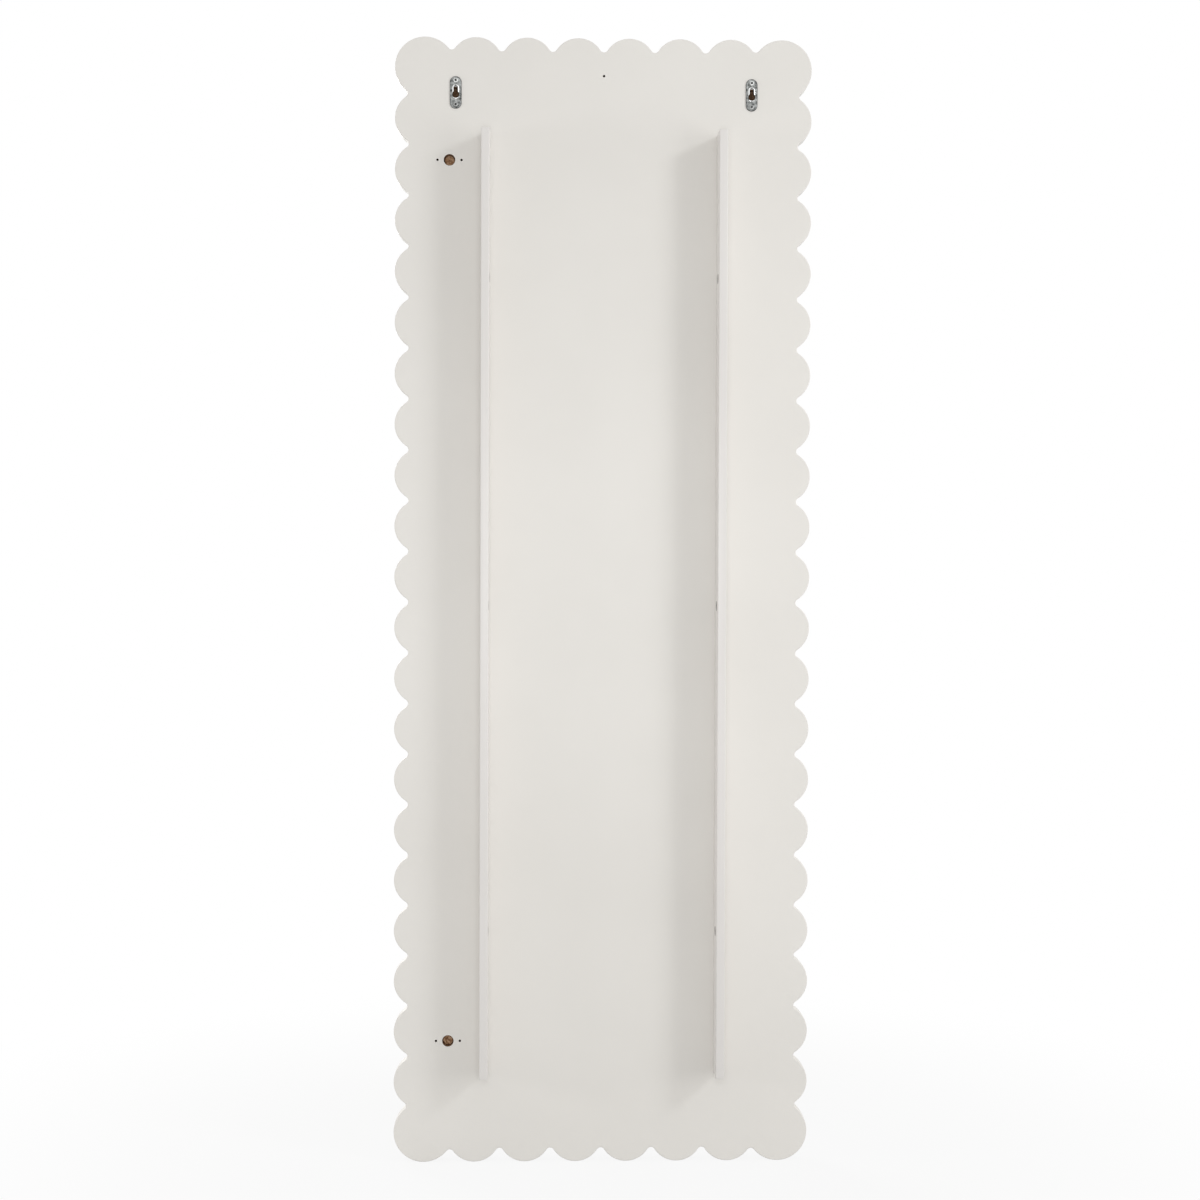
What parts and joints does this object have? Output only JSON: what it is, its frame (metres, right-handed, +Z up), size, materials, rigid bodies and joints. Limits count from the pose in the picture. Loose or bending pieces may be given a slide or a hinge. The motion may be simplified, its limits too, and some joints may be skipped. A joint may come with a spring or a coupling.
{
  "type": "floor mirror",
  "caption": "Tall floor mirror with a scalloped painted frame; upright battens held by cam locks stiffen its back and keyhole plates hang it on a wall.",
  "frame": {"origin": "on the floor, at the middle of the width and of the depth", "axes": "+Z up; the glass faces -Y and the back faces +Y; +X is to the right of someone facing the glass"},
  "size_m": [0.61, 0.075, 1.65],
  "materials": {
    "painted_board": "satin off-white paint on fibreboard",
    "dowel_wood": "plain fluted hardwood",
    "mirror": "silvered float glass with ground edges",
    "safety_film": "matt grey film",
    "foam_tape": "white closed-cell foam",
    "cast_zinc": "zinc alloy as cast",
    "plated_steel": "bright zinc-plated stamped steel"
  },
  "bodies": {
    "mirror": {"back_panel": "painted_board", "frame_stile_left": "painted_board", "frame_stile_right": "painted_board", "frame_rail_top": "painted_board", "frame_rail_bottom": "painted_board", "corner_dowels_top_left": "dowel_wood", "corner_dowels_top_right": "dowel_wood", "corner_dowels_bottom_left": "dowel_wood", "corner_dowels_bottom_right": "dowel_wood", "mirror_glass": "mirror", "mirror_safety_film": "safety_film", "mirror_tape_strips": "foam_tape", "batten_left": "painted_board", "batten_right": "painted_board", "cam_bolts_left": "plated_steel", "cam_bolts_right": "plated_steel", "keyhole_hanger_left": "plated_steel", "keyhole_hanger_right": "plated_steel", "hanger_screws_left": "plated_steel", "hanger_screws_right": "plated_steel"},
    "cam_left_lower": {"cam_left_lower": "cast_zinc"},
    "cam_left_middle": {"cam_left_middle": "cast_zinc"},
    "cam_left_upper": {"cam_left_upper": "cast_zinc"},
    "cam_right_lower": {"cam_right_lower": "cast_zinc"},
    "cam_right_middle": {"cam_right_middle": "cast_zinc"},
    "cam_right_upper": {"cam_right_upper": "cast_zinc"}
  },
  "joints": [
    {"name": "cam_left_lower_turn", "type": "hinge", "parent": "mirror", "child": "cam_left_lower", "pos_m": [-0.166, 0.0135, 0.345], "axis": [1, 0, 0], "range_deg": [0, 180]},
    {"name": "cam_left_middle_turn", "type": "hinge", "parent": "mirror", "child": "cam_left_middle", "pos_m": [-0.166, 0.0135, 0.821], "axis": [1, 0, 0], "range_deg": [0, 180]},
    {"name": "cam_left_upper_turn", "type": "hinge", "parent": "mirror", "child": "cam_left_upper", "pos_m": [-0.166, 0.0135, 1.297], "axis": [1, 0, 0], "range_deg": [0, 180]},
    {"name": "cam_right_lower_turn", "type": "hinge", "parent": "mirror", "child": "cam_right_lower", "pos_m": [0.166, 0.0135, 0.345], "axis": [-1, 0, 0], "range_deg": [0, 180]},
    {"name": "cam_right_middle_turn", "type": "hinge", "parent": "mirror", "child": "cam_right_middle", "pos_m": [0.166, 0.0135, 0.821], "axis": [-1, 0, 0], "range_deg": [0, 180]},
    {"name": "cam_right_upper_turn", "type": "hinge", "parent": "mirror", "child": "cam_right_upper", "pos_m": [0.166, 0.0135, 1.297], "axis": [-1, 0, 0], "range_deg": [0, 180]}
  ]
}
